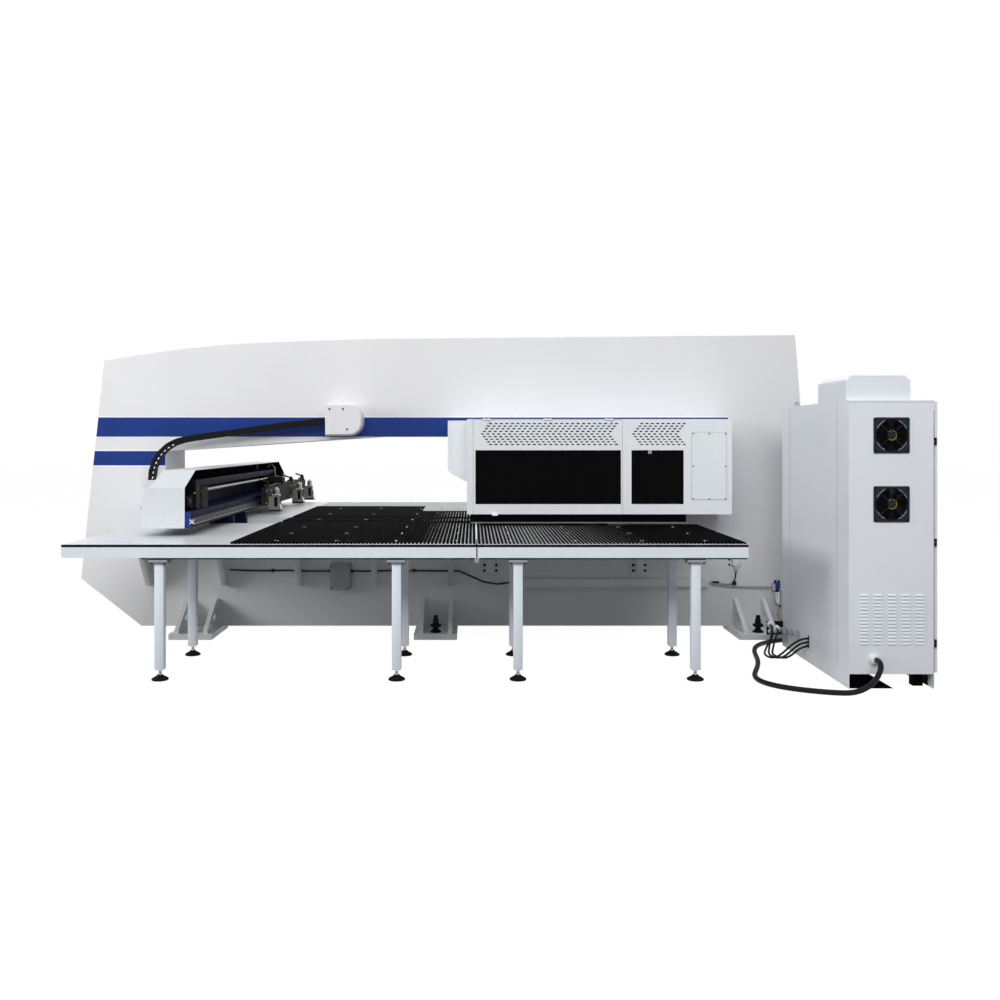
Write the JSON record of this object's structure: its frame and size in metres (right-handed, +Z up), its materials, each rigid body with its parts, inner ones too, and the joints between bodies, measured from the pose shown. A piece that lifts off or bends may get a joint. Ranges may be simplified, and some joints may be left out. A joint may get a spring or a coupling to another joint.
{
  "type": "cnc turret punch press",
  "caption": "Closed-frame turret punch press with brush tables, a crossbeam with sheet clamps, a windowed guard and a free-standing control cabinet.",
  "frame": {"origin": "on the floor under the middle of the whole machine with its cabinet", "axes": "+X along the frame to the operator's right, +Y away from the operator, +Z up"},
  "size_m": [6.177, 5.5501, 2.426],
  "materials": {
    "frame_paint": "satin",
    "guard_paint": "satin",
    "cabinet_paint": "satin",
    "table_paint": "satin",
    "white_paint": "satin",
    "blue_paint": "satin",
    "black_steel": "satin",
    "dark_steel": "satin",
    "cast_steel": "matte",
    "ground_steel": "ground",
    "table_steel": "brushed",
    "chromed": "polished",
    "dark_pane": "gloss",
    "brush_bristle": "matte",
    "black_plastic": "satin",
    "grey_plastic": "satin",
    "blue_plastic": "gloss",
    "zinc": "zinc plated",
    "cable_rubber": "matte"
  },
  "bodies": {
    "frame": {"frame_weldment": "frame_paint", "foot_brackets": "frame_paint", "levelling_jacks": "black_steel", "throat_rails": "ground_steel", "beam_drive": "cast_steel", "cable_chain": "black_plastic", "chain_box": "frame_paint", "turret_bearings": "cast_steel", "ram_housing": "cast_steel", "guard_shell": "guard_paint", "side_window": "dark_pane", "access_panel": "guard_paint", "ram_side_cover": "guard_paint", "rear_guard": "guard_paint", "table_frames": "table_paint", "throat_table_frame": "table_paint", "table_plates": "table_steel", "brushes": "brush_bristle", "edge_strips": "black_plastic", "table_legs": "table_paint", "leg_feet": "black_steel", "table_brackets": "frame_paint", "under_rail": "frame_paint", "junction_box": "cabinet_paint", "air_unit": "blue_plastic", "cabinet_shell": "cabinet_paint", "mounting_panel": "zinc", "cabinet_hinges": "black_steel", "fan_frames": "black_plastic", "top_box": "cabinet_paint", "cable_glands": "grey_plastic", "side_connectors": "grey_plastic", "main_cable": "cable_rubber", "side_cable_left": "cable_rubber", "side_cable_middle": "cable_rubber", "side_cable_right": "cable_rubber"},
    "beam_screw_rotor": {"beam_screw": "ground_steel"},
    "crossbeam": {"beam_saddle": "cast_steel", "crossbeam_girder": "blue_paint", "crossbeam_cover": "white_paint", "carriage_guides": "ground_steel", "chain_bracket": "white_paint"},
    "carriage_screw_rotor": {"carriage_screw": "chromed"},
    "carriage": {"carriage_bar": "dark_steel", "clamp_bodies": "dark_steel"},
    "upper_jaws": {"clamp_jaws": "ground_steel"},
    "lever_1": {"lock_lever_1": "black_plastic"},
    "lever_2": {"lock_lever_2": "black_plastic"},
    "lever_3": {"lock_lever_3": "black_plastic"},
    "upper_turret_disc": {"upper_turret": "ground_steel"},
    "lower_turret_disc": {"lower_turret": "ground_steel"},
    "ram_piston": {"ram": "chromed"},
    "front_door_of_guard": {"guard_door": "guard_paint", "door_window": "dark_pane"},
    "cabinet_front_door": {"cabinet_door_front": "cabinet_paint"},
    "cabinet_rear_door": {"cabinet_door_rear": "cabinet_paint"},
    "front_door_handle": {"door_handle_front": "black_plastic"},
    "rear_door_handle": {"door_handle_rear": "black_plastic"},
    "upper_impeller": {"fan_impeller_upper": "black_plastic"},
    "lower_impeller": {"fan_impeller_lower": "black_plastic"}
  },
  "joints": [
    {"name": "crossbeam_slide", "type": "slide", "parent": "frame", "child": "crossbeam", "axis": [1, 0, 0], "range_m": [0, 1.25], "deforming": ["cable_chain"]},
    {"name": "beam_screw_spin", "type": "hinge", "parent": "frame", "child": "beam_screw_rotor", "pos_m": [-1.3785, -0.202, 0.76], "axis": [1, 0, 0], "continuous": true},
    {"name": "carriage_slide", "type": "slide", "parent": "crossbeam", "child": "carriage", "axis": [0, 1, 0], "range_m": [-2.5, 0]},
    {"name": "carriage_screw_spin", "type": "hinge", "parent": "crossbeam", "child": "carriage_screw_rotor", "pos_m": [-1.9385, 0.248, 1.184], "axis": [0, 1, 0], "continuous": true},
    {"name": "clamps_open", "type": "hinge", "parent": "carriage", "child": "upper_jaws", "pos_m": [-1.7185, 1.878, 0.98], "axis": [0, -1, 0], "range_deg": [0, 25]},
    {"name": "upper_turret_spin", "type": "hinge", "parent": "frame", "child": "upper_turret_disc", "pos_m": [0.7215, -0.352, 0.99], "axis": [0, 0, 1], "continuous": true},
    {"name": "lower_turret_spin", "type": "hinge", "parent": "frame", "child": "lower_turret_disc", "pos_m": [0.7215, -0.352, 0.85], "axis": [0, 0, 1], "continuous": true},
    {"name": "ram_stroke", "type": "slide", "parent": "frame", "child": "ram_piston", "axis": [0, 0, -1], "range_m": [0, 0.035]},
    {"name": "guard_door_hinge", "type": "hinge", "parent": "frame", "child": "front_door_of_guard", "pos_m": [0.7045, -1.06, 1.724], "axis": [-1, 0, 0], "range_deg": [0, 100]},
    {"name": "cabinet_front_door_hinge", "type": "hinge", "parent": "frame", "child": "cabinet_front_door", "pos_m": [3.0285, -2.639, 0.952], "axis": [0, 0, -1], "range_deg": [0, 120]},
    {"name": "cabinet_rear_door_hinge", "type": "hinge", "parent": "frame", "child": "cabinet_rear_door", "pos_m": [3.0285, -1.241, 0.952], "axis": [0, 0, 1], "range_deg": [0, 120]},
    {"name": "front_handle_turn", "type": "hinge", "parent": "cabinet_front_door", "child": "front_door_handle", "pos_m": [3.0615, -1.985, 0.98], "axis": [-1, 0, 0], "range_deg": [0, 90]},
    {"name": "rear_handle_turn", "type": "hinge", "parent": "cabinet_rear_door", "child": "rear_door_handle", "pos_m": [3.0615, -1.895, 0.98], "axis": [1, 0, 0], "range_deg": [0, 90]},
    {"name": "upper_fan_spin", "type": "hinge", "parent": "frame", "child": "upper_impeller", "pos_m": [2.7485, -2.6307, 1.592], "axis": [0, 1, 0], "continuous": true},
    {"name": "lower_fan_spin", "type": "hinge", "parent": "frame", "child": "lower_impeller", "pos_m": [2.7485, -2.6307, 1.16], "axis": [0, 1, 0], "continuous": true},
    {"name": "lock_lever_1_turn", "type": "hinge", "parent": "carriage", "child": "lever_1", "pos_m": [-1.8065, 0.578, 1.173], "axis": [0, 0, 1], "range_deg": [-45, 45]},
    {"name": "lock_lever_2_turn", "type": "hinge", "parent": "carriage", "child": "lever_2", "pos_m": [-1.8065, 1.878, 1.173], "axis": [0, 0, 1], "range_deg": [-45, 45]},
    {"name": "lock_lever_3_turn", "type": "hinge", "parent": "carriage", "child": "lever_3", "pos_m": [-1.8065, 2.588, 1.173], "axis": [0, 0, 1], "range_deg": [-45, 45]}
  ],
  "couplings": [
    {"joint": "beam_screw_spin", "follows": "crossbeam_slide", "rad_per_m": 125.66},
    {"joint": "carriage_screw_spin", "follows": "carriage_slide", "rad_per_m": 157.08},
    {"joint": "lower_turret_spin", "follows": "upper_turret_spin", "ratio": 1}
  ]
}
